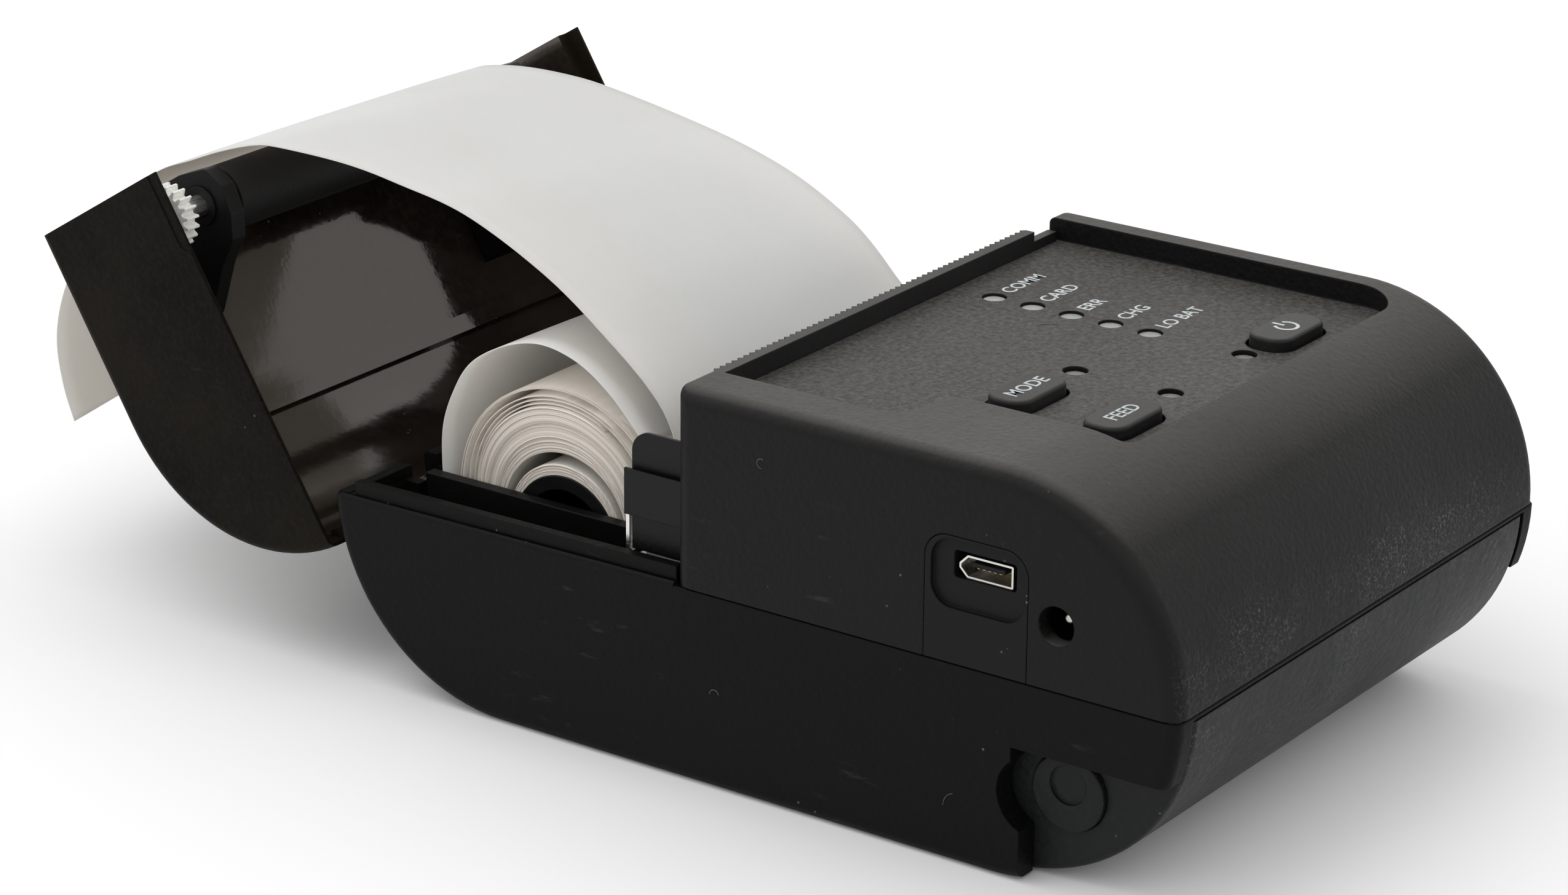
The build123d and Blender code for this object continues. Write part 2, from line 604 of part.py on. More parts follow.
with BuildPart() as stepper_motor:
    rod(Plane.YZ, pinion_y, pinion_z, 7.3, motor_front, motor_front + 17)
    fillet(stepper_motor.edges().filter_by(GeomType.CIRCLE), 0.8)
    rod(Plane.YZ, pinion_y, pinion_z, shaft_radius + 0.02, motor_front - 1, motor_front + 3.4, mode=Mode.SUBTRACT)
finish(stepper_motor, "stepper_motor")

with BuildPart() as paper_sensor:
    block((-7, 14.2, plate_high + 0.02), (-2, 16.8, 27.45))
finish(paper_sensor, "paper_sensor")

with BuildPart() as door_switch:
    block((33.4, 10, plate_high + 0.02), (36.2, 16, 31))
    block((34.2, 12, 31.02), (35.4, 13.4, 32.2))
finish(door_switch, "door_switch")

# ---------------------------------------------------------------- paper bin
bin_y, bin_z, bin_radius = 37.2, 23.4, 20.2
bin_inner, bin_outer = 29.4, 31.0
with BuildPart() as paper_bin:
    with BuildSketch(Plane.YZ) as bin_outline:
        with BuildLine():
            CenterArc((rear_y, rear_radius), inner_rear - 0.25, -90, 84)
            end = radians(-6)
            Polyline(
                (rear_y + (inner_rear - 0.25) * cos(end), rear_radius + (inner_rear - 0.25) * sin(end)),
                (56.9, 24.7),
                (17.2, 24.7),
                (15.2, 20),
                (15.2, wall + 0.25),
                (rear_y, wall + 0.25),
            )
        make_face()
    extrude(bin_outline.sketch, amount=bin_outer, both=True)
    block((-32, 56.9, 10), (32, 62, 30), mode=Mode.SUBTRACT)
    with BuildSketch(Plane.YZ) as cavity:
        with Locations((bin_y, bin_z)):
            Circle(bin_radius)
    extrude(cavity.sketch, amount=bin_inner, both=True, mode=Mode.SUBTRACT)
    block((-bin_inner, 16, 19.5), (bin_inner, 62, 30), mode=Mode.SUBTRACT)
finish(paper_bin, "paper_bin")

# ---------------------------------------------------------------- battery pack
cell_radius, cell_half = 9.1, 32.5
button_y, button_z, button_radius = -45.9, 11.6, 4.85     # round release button on each end
dish_y, dish_z, dish_radius = -46.0, 12.6, 2.45
cell_places = ((-24.7, 12.2), (-43.7, 12.2))
with BuildPart() as battery_case:
    extrude(lower_outline.sketch, amount=battery_half, both=True)
    block((-45, battery_back, -1), (45, 70, 40), mode=Mode.SUBTRACT)
    block((-45, -70, battery_top), (45, 70, 40), mode=Mode.SUBTRACT)
    fillet(battery_case.edges().filter_by(GeomType.CIRCLE), 0.8)
    for y, z in cell_places:
        rod(Plane.YZ, y, z, cell_radius + 0.2, -35, 35, mode=Mode.SUBTRACT)
    block((-35, -52.8, 12.2), (35, -15.6, battery_top - 1.9), mode=Mode.SUBTRACT)
    block((-37, -55.8, battery_top - 1.9), (37, -15.4, battery_top + 1), mode=Mode.SUBTRACT)
    # pockets of the release buttons
    both_sides(rod, Plane.YZ, button_y, button_z, button_radius + 0.1, battery_half - 2.6, battery_half + 1,
               mode=Mode.SUBTRACT)
finish(battery_case, "battery_case")

with BuildPart() as battery_lid:
    block((-36.9, -55.7, battery_top - 1.88), (36.9, -15.5, battery_top))
finish(battery_lid, "battery_lid")

with BuildPart() as battery_cells:
    for y, z in cell_places:
        rod(Plane.YZ, y, z, cell_radius, -cell_half, cell_half)
finish(battery_cells, "battery_cells")

with BuildPart() as battery_terminals:
    for x in (-9, -3, 3, 9):
        block((x - 1.5, battery_back + 0.02, 14), (x + 1.5, battery_back + 0.2, 19))
finish(battery_terminals, "battery_terminals")

for side, sign in (("left", -1), ("right", 1)):
    with BuildPart() as release_button:
        low, high = sorted((sign * (battery_half - 1.1), sign * (battery_half + 0.8)))
        rod(Plane.YZ, button_y, button_z, button_radius, low, high)
        outer_rim = release_button.edges().filter_by(GeomType.CIRCLE)
        fillet(outer_rim.sort_by(Axis.X)[0 if sign < 0 else -1], 0.35)
        low, high = sorted((sign * (battery_half + 0.4), sign * (battery_half + 2)))
        rod(Plane.YZ, dish_y, dish_z, dish_radius, low, high, mode=Mode.SUBTRACT)
    finish(release_button, f"{side}_release_button")

# ---------------------------------------------------------------- paper
with BuildPart() as roll_core:
    rod(Plane.YZ, core_y, core_z, core_radius, -paper_half, paper_half)
    rod(Plane.YZ, core_y, core_z, core_bore, -paper_half - 1, paper_half + 1, mode=Mode.SUBTRACT)
finish(roll_core, "roll_core")

with BuildPart() as wound_paper:
    rod(Plane.YZ, roll_y, roll_z, roll_radius, -paper_half, paper_half)
    rod(Plane.YZ, 36.4, 21.3, 9.65, -paper_half - 1, paper_half + 1, mode=Mode.SUBTRACT)
finish(wound_paper, "wound_paper")

# The loose end: one slack turn round the roll, then an arch over the platen and a tail
# that hangs behind the door.
web_thickness = 0.3
slack_y, slack_z, slack_radius = 38.5, 27.2, 17.4
under_y, under_z, under_radius = 36.9, 22.9, 19.0
web_path = []
for angle in range(150, -1, -15):
    web_path.append((slack_y + slack_radius * cos(radians(angle)), slack_z + slack_radius * sin(radians(angle))))
for angle in range(0, -181, -20):
    web_path.append((under_y + under_radius * cos(radians(angle)), under_z + under_radius * sin(radians(angle))))
web_path += [
    (17.95, 28.0), (18.4, 33.0), (20.4, 38.3), (24.6, 43.0), (31.5, 48.0), (40.5, 53.0), (51.0, 57.1),
    (62.0, 59.8), (72.5, 61.2), (81.0, 61.2), (88.0, 60.2), (94.0, 58.6), (100.0, 56.2), (105.8, 52.6),
    (111.4, 48.2), (116.6, 42.8), (120.6, 36.5), (122.4, 29.5), (122.2, 22.5), (120.9, 17.0),
]


def beside(path, distance):
    """The points of a path moved sideways by a distance."""
    moved = []
    for i, (y, z) in enumerate(path):
        before, after = path[max(i - 1, 0)], path[min(i + 1, len(path) - 1)]
        run_y, run_z = after[0] - before[0], after[1] - before[1]
        run = hypot(run_y, run_z)
        moved.append((y - distance * run_z / run, z + distance * run_y / run))
    return moved


web_upper = beside(web_path, web_thickness / 2)
web_lower = beside(web_path, -web_thickness / 2)
with BuildPart() as paper_web:
    with BuildSketch(Plane.YZ) as web_section:
        with BuildLine():
            Spline(*web_upper)
            Line(web_upper[-1], web_lower[-1])
            Spline(*web_lower)
            Line(web_lower[0], web_upper[0])
        make_face()
    extrude(web_section.sketch, amount=paper_half, both=True)
finish(paper_web, "paper_web")
web_length = sum(hypot(b[0] - a[0], b[1] - a[1]) for a, b in zip(web_path, web_path[1:]))
print(f"paper web length {web_length:.1f} mm")

# ---------------------------------------------------------------- door, drawn closed
door_width = half_width
center_front = 10.8
with BuildPart() as door_shell:
    extrude(door_outline.sketch, amount=door_width, both=True)
    fillet(long_side_arcs(door_shell), edge_radius)
    extrude(door_hollow.sketch, amount=inside, both=True, mode=Mode.SUBTRACT)
    # the middle of the free edge stands back, for the paper slot
    prism(door_plane, [(6, 40), (center_front, 40), (center_front, 55), (6, 55)], -inside, inside,
          mode=Mode.SUBTRACT)
    # rebate that closes over the tongue of the lower case
    rebate = [(6, 20), (6, door_rim_front + 2.3), (59.5, door_rim_rear + 2.3), (63, 20)]
    both_sides(prism, door_plane, rebate, inside - 1, tongue_far + gap, mode=Mode.SUBTRACT)
    # shallow step on the outside of each cheek, near the free end
    step = [(6, 24), (6, door_rim_front + 1.4), (18.6, door_rim_front + 1.3), (19.5, door_rim_front + 0.4),
            (19.5, 24)]
    both_sides(prism, door_plane, step, half_width - 0.15, half_width + 1, mode=Mode.SUBTRACT)
    # cross rib inside
    prism(door_plane, [(38.6, door_top - 3.4), (41.0, door_top - 3.6), (41.0, door_top - 1.4),
                       (38.6, door_top - 1.0)], -inside - 0.5, inside + 0.5)
    # hinge arms with their eyes
    arm = [(57.5, 20.9), (61.1, 20.9), (60.2, 27.4), (57.0, 28.4)]
    both_sides(prism, door_plane, arm, arm_near, arm_far)
    both_sides(rod, door_plane, hinge_y, hinge_z, 1.9, arm_near, arm_far)
    both_sides(rod, door_plane, hinge_y, hinge_z, 1.25, arm_near - 0.5, arm_far + 0.5, mode=Mode.SUBTRACT)
finish(door_shell, "door_shell")

ear_near, ear_far = 29.8, 32.2
ear_top = door_top - door_skin - 0.2
ear_outline = [(9.0, 33.5), (9.0, ear_top), (33.0, ear_top), (26.7, 38.6), (22.0, 33.2), (19.8, 29.6),
               (16.8, 27.9), (13.0, 27.3), (9.9, 28.8)]
for side, sign in (("left", -1), ("right", 1)):
    with BuildPart() as platen_bracket:
        low, high = sorted((sign * ear_near, sign * ear_far))
        prism(door_plane, ear_outline, low, high, radius=0.8)
        foot_low, foot_high = sorted((sign * ear_near, sign * (inside - 0.2)))
        prism(door_plane, [(11.2, 45.6), (11.2, ear_top), (33.0, ear_top), (31.6, 45.6)], foot_low, foot_high)
        rod(door_plane, platen_y, platen_z, 2.62, -50, 50, mode=Mode.SUBTRACT)
    finish(platen_bracket, f"{side}_platen_bracket")

with BuildPart() as platen_bushes:
    both_sides(rod, door_plane, platen_y, platen_z, 2.6, ear_near - 0.1, ear_far + 0.3)
    both_sides(rod, door_plane, platen_y, platen_z, 1.55, ear_near - 1, ear_far + 1, mode=Mode.SUBTRACT)
finish(platen_bushes, "platen_bushes")

with BuildPart() as bracket_screws:
    for x in (-37.5, 37.5):
        for y in (15.5, 27.0):
            with BuildSketch(door_plane.offset(x)) as screw_side:
                with BuildLine():
                    Polyline((y, 44.5), (y + 1.7, 44.5), (y + 1.7, 45.58), (y, 45.58), close=True)
                make_face()
            revolve(screw_side.sketch, axis=Axis(door_plane.offset(x).from_local_coords((y, 0, 0)),
                                                closed_z_axis))
finish(bracket_screws, "bracket_screws")

with BuildPart() as platen_shaft:
    rod(door_plane, platen_y, platen_z, 1.5, gear_near - 0.05, ear_far + 0.8)
finish(platen_shaft, "platen_shaft")

with BuildPart() as platen_roller:
    rod(door_plane, platen_y, platen_z, platen_radius, -paper_half - 0.2, paper_half + 0.2)
    rod(door_plane, platen_y, platen_z, 1.52, -paper_half - 1, paper_half + 1, mode=Mode.SUBTRACT)
finish(platen_roller, "platen_roller")

with BuildPart() as platen_gear:
    gear(platen_teeth, platen_y, platen_z, platen_phase, 1.52, plane=door_plane)
finish(platen_gear, "platen_gear")
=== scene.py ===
import math
import random
import bmesh
import bpy
from mathutils import Matrix, Vector


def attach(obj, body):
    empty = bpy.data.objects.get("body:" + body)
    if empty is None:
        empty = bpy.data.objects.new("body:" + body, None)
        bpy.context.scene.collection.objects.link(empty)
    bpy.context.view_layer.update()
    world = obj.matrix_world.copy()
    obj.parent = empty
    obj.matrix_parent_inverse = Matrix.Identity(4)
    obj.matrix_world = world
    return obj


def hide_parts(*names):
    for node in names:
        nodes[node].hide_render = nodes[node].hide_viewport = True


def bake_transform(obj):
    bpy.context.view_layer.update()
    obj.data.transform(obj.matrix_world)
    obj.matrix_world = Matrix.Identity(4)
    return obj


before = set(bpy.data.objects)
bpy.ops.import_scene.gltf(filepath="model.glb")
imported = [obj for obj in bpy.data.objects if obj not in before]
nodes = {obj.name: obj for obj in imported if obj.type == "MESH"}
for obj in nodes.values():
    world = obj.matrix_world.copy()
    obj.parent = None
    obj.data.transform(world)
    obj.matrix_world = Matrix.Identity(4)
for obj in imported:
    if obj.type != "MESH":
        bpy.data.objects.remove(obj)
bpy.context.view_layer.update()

MM = 0.001
CASE_SIDE = 43.65                         # from the middle to the case's side, in mm
PANEL_TOP, KEY_TOP = 47.3, 48.8           # heights of the key panel and of the keys, in mm
HINGE_Y, HINGE_Z = 59.3, 20.9             # the door's hinge line, in mm
DOOR_OPEN = 121.7                         # degrees from closed to open
PAPER_HALF = 28.75                        # half the width of the web, in mm


# ---------------------------------------------------------------- camera and light
def look(azimuth, elevation, roll):
    """The turn of a camera that stands at an azimuth and elevation, with a roll, in degrees."""
    a, e, r = (math.radians(v) for v in (azimuth, elevation, roll))
    back = Vector((math.sin(a) * math.cos(e), -math.cos(a) * math.cos(e), math.sin(e)))
    right = Vector((0, 0, 1)).cross(back).normalized()
    up = back.cross(right)
    turned_right = right * math.cos(r) + up * math.sin(r)
    turned_up = up * math.cos(r) - right * math.sin(r)
    return Matrix((turned_right, turned_up, back)).transposed()


camera_data = bpy.data.cameras.new("camera")
camera_data.sensor_width = 36
camera_data.lens = 106.39
camera_data.clip_start = 0.01
camera_data.clip_end = 20
camera = bpy.data.objects.new("camera", camera_data)
bpy.context.collection.objects.link(camera)
camera_turn = look(-54.666, 20.472, 0.485).to_4x4()
camera.matrix_world = Matrix.Translation((-0.4541, -0.2988, 0.2341)) @ camera_turn
bpy.context.scene.camera = camera

world = bpy.data.worlds.new("studio")
bpy.context.scene.world = world
world.use_nodes = True
sky = world.node_tree.nodes["Background"]
sky.inputs["Color"].default_value = (1, 1, 1, 1)
sky.inputs["Strength"].default_value = 0.97
bpy.context.scene.view_settings.view_transform = "Standard"


def area_light(name, place, size, power):
    """A rectangular lamp that faces the middle of the part."""
    data = bpy.data.lights.new(name, "AREA")
    data.shape = "RECTANGLE"
    data.size, data.size_y = size
    data.energy = power
    lamp = bpy.data.objects.new(name, data)
    bpy.context.collection.objects.link(lamp)
    lamp.location = place
    aim = Vector((0, 0.02, 0.03)) - Vector(place)
    lamp.rotation_euler = aim.to_track_quat("-Z", "Y").to_euler()


area_light("key", (-0.2, 0.5, 1.0), (0.9, 0.9), 3.0)
area_light("left_fill", (-1.1, 0.25, 0.45), (0.8, 0.8), 0.3)
area_light("front_fill", (0.2, -1.1, 0.6), (0.9, 0.7), 0.4)


# ---------------------------------------------------------------- materials
class Mat:
    """A node material, with short calls for the nodes it is made of."""

    def __init__(self, name):
        self.material = bpy.data.materials.new(name)
        self.material.use_nodes = True
        self.tree = self.material.node_tree
        self.shader = self.tree.nodes["Principled BSDF"]
        self.place = self.node("ShaderNodeTexCoord").outputs["Object"]

    def node(self, kind, **settings):
        made = self.tree.nodes.new(kind)
        for key, value in settings.items():
            setattr(made, key, value)
        return made

    def link(self, value, socket):
        if isinstance(value, bpy.types.NodeSocket):
            self.tree.links.new(value, socket)
        else:
            socket.default_value = value

    def shifted(self, shift, stretch=(1, 1, 1)):
        """The object's coordinates, stretched and then shifted."""
        mapping = self.node("ShaderNodeMapping")
        self.link(self.place, mapping.inputs["Vector"])
        mapping.inputs["Scale"].default_value = stretch
        mapping.inputs["Location"].default_value = shift
        return mapping.outputs[0]

    def noise(self, scale, detail=4, rough=0.5, stretch=(1, 1, 1), seed=0):
        """Noise with features of about 1/scale metres."""
        made = self.node("ShaderNodeTexNoise")
        self.link(self.shifted((seed, seed * 1.7, seed * 0.3), stretch), made.inputs["Vector"])
        made.inputs["Scale"].default_value = scale
        made.inputs["Detail"].default_value = detail
        made.inputs["Roughness"].default_value = rough
        return made.outputs["Fac"]

    def cells(self, scale, seed=0):
        """The distance from the middle of the nearest cell, with cells of about 1/scale metres."""
        made = self.node("ShaderNodeTexVoronoi", feature="F1")
        self.link(self.shifted((seed, seed * 1.3, seed * 0.7)), made.inputs["Vector"])
        made.inputs["Scale"].default_value = scale
        return made.outputs["Distance"]

    def ramp(self, value, stops):
        """A colour ramp through (position, grey) stops."""
        made = self.node("ShaderNodeValToRGB")
        self.link(value, made.inputs["Fac"])
        elements = made.color_ramp.elements
        while len(elements) < len(stops):
            elements.new(0.5)
        for element, (position, grey) in zip(elements, stops):
            element.position = position
            element.color = (grey, grey, grey, 1)
        return made.outputs["Color"]

    def math(self, operation, a, b=0.0):
        made = self.node("ShaderNodeMath", operation=operation)
        self.link(a, made.inputs[0])
        self.link(b, made.inputs[1])
        return made.outputs[0]

    def mix(self, fac, a, b):
        """Colour a where fac is 0, and colour b where it is 1."""
        made = self.node("ShaderNodeMix", data_type="RGBA", blend_type="MIX")
        self.link(fac, made.inputs["Factor"])
        self.link(a, made.inputs[6])
        self.link(b, made.inputs[7])
        return made.outputs[2]

    def axis(self, name):
        """One of the object's coordinates, in metres."""
        made = self.node("ShaderNodeSeparateXYZ")
        self.link(self.place, made.inputs[0])
        return made.outputs[name]

    def between(self, value, low, high, soft):
        """1 where value is between low and high, with soft edges."""
        rise = self.node("ShaderNodeMapRange", interpolation_type="SMOOTHSTEP")
        self.link(value, rise.inputs["Value"])
        rise.inputs["From Min"].default_value = low - soft
        rise.inputs["From Max"].default_value = low + soft
        fall = self.node("ShaderNodeMapRange", interpolation_type="SMOOTHSTEP")
        self.link(value, fall.inputs["Value"])
        fall.inputs["From Min"].default_value = high + soft
        fall.inputs["From Max"].default_value = high - soft
        return self.math("MULTIPLY", rise.outputs[0], fall.outputs[0])

    def normal_part(self, name):
        """How far the surface faces along an axis."""
        geometry = self.node("ShaderNodeNewGeometry")
        parts = self.node("ShaderNodeSeparateXYZ")
        self.link(geometry.outputs["Normal"], parts.inputs[0])
        return parts.outputs[name]

    def bump(self, layers, edge=0.0):
        """Chains (height, strength, distance in metres) bumps over edges worn to a radius."""
        previous = None
        if edge:
            rounded = self.node("ShaderNodeBevel", samples=4)
            rounded.inputs["Radius"].default_value = edge
            previous = rounded.outputs["Normal"]
        for height, strength, distance in layers:
            made = self.node("ShaderNodeBump")
            self.link(height, made.inputs["Height"])
            made.inputs["Strength"].default_value = strength
            made.inputs["Distance"].default_value = distance
            if previous is not None:
                self.link(previous, made.inputs["Normal"])
            previous = made.outputs["Normal"]
        self.link(previous, self.shader.inputs["Normal"])

    def set(self, colour, rough, **sockets):
        self.link(colour, self.shader.inputs["Base Color"])
        self.link(rough, self.shader.inputs["Roughness"])
        for name, value in sockets.items():
            self.link(value, self.shader.inputs[name.replace("_", " ")])


def colour4(colour):
    return (*colour, 1)


def scaled(colour, factor):
    return colour4([part * factor for part in colour])


def moulded(name, dark, light, rough=(0.42, 0.62), grain=1500, depth=0.5, dust=0.5, scuff=0.4,
            seed=0.0, specular=0.4, patch=22, top=None, panel=None, edge=0.00025, seam=None):
    """Moulded plastic with a spark-eroded grain, cloudy tone, dust specks, faint scuffs and, with
    top, a painted sheen on faces that look up.

    top is the colour of a painted sheen on faces that look up, panel the height range of the
    coarsely grained panel whose grain is mixed from that painted sheen, and seam the height range
    where grit gathers on the front, in metres.
    """
    m = Mat(name)
    cloud = m.ramp(m.noise(patch, 5, 0.6, seed=seed), [(0.35, 0.0), (0.68, 1.0)])
    base = m.mix(cloud, colour4(dark), colour4(light))
    fine = m.noise(grain, 3, 0.6, seed=seed + 1)
    # painted sheen: faces that look up blend towards the lighter top colour, standing in for the
    # overhead light
    if top:
        painted_sheen_mask = m.ramp(m.normal_part("Z"), [(0.3, 0.0), (0.72, 0.11), (0.985, 1.0)])
        painted_sheen_tone = m.mix(m.ramp(fine, [(0.3, 0.0), (0.7, 1.0)]), scaled(top, 0.86), scaled(top, 1.08))
        # the panel floor's coarse grain is mixed from the same painted sheen colour
        if panel:
            coarse = m.ramp(m.noise(1250, 4, 0.8, seed=seed + 9), [(0.38, 0.0), (0.64, 1.0)])
            flat = m.ramp(m.normal_part("Z"), [(0.985, 0.0), (0.995, 1.0)])
            inside = m.math("MULTIPLY", m.between(m.axis("Z"), *panel, 0.0001), flat)
            painted_sheen_tone = m.mix(inside, painted_sheen_tone, m.mix(coarse, scaled(top, 0.55), scaled(top, 1.35)))
        base = m.mix(painted_sheen_mask, base, painted_sheen_tone)
    base = m.mix(m.ramp(fine, [(0.45, 0.0), (0.75, 0.35)]), base, scaled(light, 1.7))

    streaks = m.noise(120, 6, 0.65, stretch=(1, 1, 5), seed=seed + 2)
    places = m.ramp(m.noise(35, 3, seed=seed + 3), [(0.5, 0.0), (0.62, 1.0)])
    worn = m.math("MULTIPLY", m.ramp(streaks, [(0.62, 0.0), (0.7, 1.0)]), places)
    base = m.mix(m.math("MULTIPLY", worn, 0.3 * scuff), base, (0.12, 0.12, 0.12, 1))

    specks = m.ramp(m.cells(420, seed=seed + 4), [(0.0, 1.0), (0.085, 0.0)])
    places = m.ramp(m.noise(55, 3, seed=seed + 5), [(0.55, 0.0), (0.6, 1.0)])
    specks = m.math("MULTIPLY", specks, places)
    base = m.mix(m.math("MULTIPLY", specks, dust), base, (0.3, 0.3, 0.29, 1))

    if seam:
        forward = m.math("MULTIPLY", m.normal_part("Y"), -1.0)
        front = m.ramp(forward, [(0.55, 0.0), (0.8, 1.0)])
        band = m.math("MULTIPLY", front, m.between(m.axis("Z"), *seam, 0.004))
        grit = m.ramp(m.noise(2600, 4, 0.75, seed=seed + 10), [(0.53, 0.0), (0.64, 1.0)])
        places = m.ramp(m.noise(70, 5, 0.65, seed=seed + 11), [(0.42, 0.15), (0.62, 1.0)])
        share = m.math("MULTIPLY", band, m.math("MULTIPLY", grit, places))
        base = m.mix(m.math("MULTIPLY", share, 0.55), base, (0.15, 0.148, 0.14, 1))

    unevenness = m.math("ADD", m.math("MULTIPLY", cloud, 0.5), m.math("MULTIPLY", fine, 0.5))
    roughness = m.ramp(unevenness, [(0.2, rough[0]), (0.8, rough[1])])
    m.set(base, roughness, Specular_IOR_Level=specular)
    m.bump([(m.noise(300, 3, 0.6, seed=seed + 6), 0.15, 0.00012), (fine, depth, 0.0001),
            (m.cells(grain * 0.8, seed=seed + 7), depth * 0.7, 0.00007)], edge)
    return m


def paint(node, mat):
    mesh = nodes[node].data
    mesh.materials.clear()
    mesh.materials.append(mat.material)


def new_object(name, mesh, body, mat, smooth=True):
    piece = bpy.data.objects.new(name, mesh)
    bpy.context.collection.objects.link(piece)
    mesh.materials.append(mat.material)
    if smooth:
        for polygon in mesh.polygons:
            polygon.use_smooth = True
    if body:
        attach(piece, body)
    return piece


case_mat = moulded(
    "case_black", (0.0016, 0.0019, 0.0017), (0.0034, 0.0037, 0.0033), specular=0.1)
# top is a painted sheen colour for the cover's upward faces, panel floor included
cover_mat = moulded(
    "cover_black", (0.0022, 0.0023, 0.0023), (0.0044, 0.0046, 0.0046), seed=3, specular=0.16,
    top=(0.072, 0.067, 0.061), panel=(0.0471, 0.0475), depth=0.8, edge=0.0004, seam=(0.025, 0.033))
battery_mat = moulded(
    "battery_black", (0.0042, 0.0047, 0.005), (0.0085, 0.0092, 0.0098), grain=900, depth=0.9,
    seed=5, specular=0.2, seam=(0.012, 0.026))
door_mat = moulded(
    "door_smoke", (0.0014, 0.0011, 0.0006), (0.0105, 0.0082, 0.0048), rough=(0.4, 0.6), seed=8,
    specular=0.06, patch=34)
# the inside's lighter brownish base colour is a painted reflection of the paper in the glossy window
door_inner_reflection_mat = moulded(
    "door_smoke_gloss_painted_reflection", (0.0105, 0.0076, 0.0056), (0.03, 0.0225, 0.017), rough=(0.06, 0.17),
    grain=900, depth=0.03, dust=0.6, seed=9, scuff=0.5, specular=0.85, patch=38, edge=0.0)
door_inner_reflection_mat.shader.inputs["Specular Tint"].default_value = (1.0, 0.93, 0.86, 1.0)
# top is a painted sheen colour for the keys' upward faces
key_mat = moulded(
    "key_black", (0.005, 0.005, 0.005), (0.009, 0.009, 0.0088), grain=2500, depth=0.25, seed=11,
    specular=0.25, top=(0.05, 0.048, 0.045))
bezel_mat = moulded(
    "bezel_black", (0.0028, 0.0031, 0.003), (0.005, 0.0055, 0.0053), grain=2500, depth=0.2,
    seed=12, specular=0.15)
inner_mat = moulded(
    "inner_black", (0.0022, 0.0022, 0.0022), (0.004, 0.004, 0.004), rough=(0.35, 0.5),
    grain=2500, depth=0.2, seed=14, specular=0.2)
gear_mat = moulded(
    "gear_white", (0.82, 0.81, 0.77), (0.88, 0.87, 0.84), rough=(0.35, 0.5), grain=2500,
    depth=0.1, dust=0.0, scuff=0.2, seed=15)
core_mat = moulded(
    "core_black", (0.003, 0.003, 0.003), (0.006, 0.006, 0.006), rough=(0.25, 0.4), grain=3000,
    depth=0.1, seed=17, specular=0.3)
lens_mat = moulded(
    "lens_milk", (0.16, 0.16, 0.155), (0.34, 0.34, 0.33), rough=(0.25, 0.4), grain=3000,
    depth=0.1, dust=0.2, seed=19)
rubber_mat = moulded(
    "rubber_dark", (0.006, 0.006, 0.006), (0.011, 0.011, 0.011), rough=(0.55, 0.7), grain=1800,
    depth=0.4, seed=21, specular=0.25)
chip_mat = moulded("chip_black", (0.012, 0.012, 0.012), (0.02, 0.02, 0.02), seed=23)
sleeve_mat = moulded(
    "sleeve_blue", (0.02, 0.07, 0.2), (0.03, 0.1, 0.3), rough=(0.2, 0.35), grain=3000,
    depth=0.1, seed=25)
board_mat = moulded(
    "board_green", (0.004, 0.06, 0.02), (0.006, 0.09, 0.03), rough=(0.25, 0.4), grain=2500,
    depth=0.1, seed=27)
ceramic_mat = moulded(
    "ceramic_cream", (0.5, 0.47, 0.4), (0.6, 0.57, 0.5), rough=(0.15, 0.3), grain=3000,
    depth=0.1, dust=0.0, seed=28)


def metal(name, colour, rough, seed, direction=(1, 1, 30)):
    """Worked metal with fine streaks across the stretched direction, and dull spots."""
    m = Mat(name)
    streaks = m.noise(260, 5, 0.6, stretch=direction, seed=seed)
    spots = m.noise(90, 5, 0.6, seed=seed + 1)
    tone = m.mix(m.ramp(spots, [(0.4, 0.0), (0.7, 0.6)]), colour4(colour), scaled(colour, 0.72))
    m.set(tone, m.ramp(streaks, [(0.3, rough[0]), (0.7, rough[1])]), Metallic=1.0)
    m.bump([(streaks, 0.2, 0.00002), (spots, 0.15, 0.00005)])
    return m


steel_mat = metal("steel_bright", (0.75, 0.74, 0.72), (0.18, 0.38), 31)
socket_mat = metal("socket_nickel", (0.72, 0.7, 0.66), (0.2, 0.4), 32, (30, 1, 1))
gold_mat = metal("contact_gold", (0.83, 0.62, 0.3), (0.2, 0.35), 33)
alloy_mat = metal("sink_alloy", (0.7, 0.7, 0.7), (0.3, 0.5), 34, (30, 1, 1))

for mat, painted in (
        (case_mat, "lower_case"),
        (cover_mat, "upper_cover"),
        (door_mat, "door_shell"),
        (key_mat, "mode_key feed_key power_key tear_bar"),
        (bezel_mat, "port_bezel"),
        (battery_mat, "battery_case battery_lid left_release_button right_release_button"),
        (inner_mat, "left_bracket right_bracket head_beam paper_bin left_platen_bracket "
                    "right_platen_bracket platen_bushes power_jack socket_tongue"),
        (gear_mat, "drive_gear idler_gear motor_pinion platen_gear"),
        (lens_mat, "status_light_pipes key_light_pipes indicator_leds"),
        (steel_mat, "case_screws bracket_screws hinge_pins chassis_plate gear_plate gear_posts "
                    "motor_shaft platen_shaft stepper_motor head_springs"),
        (socket_mat, "data_socket jack_pin"),
        (alloy_mat, "heat_sink"),
        (ceramic_mat, "print_head"),
        (rubber_mat, "platen_roller"),
        (board_mat, "main_board keypad_board"),
        (chip_mat, "board_components key_switches paper_sensor door_switch"),
        (gold_mat, "socket_contacts battery_terminals"),
        (core_mat, "roll_core"),
        (sleeve_mat, "battery_cells")):
    for node in painted.split():
        paint(node, mat)


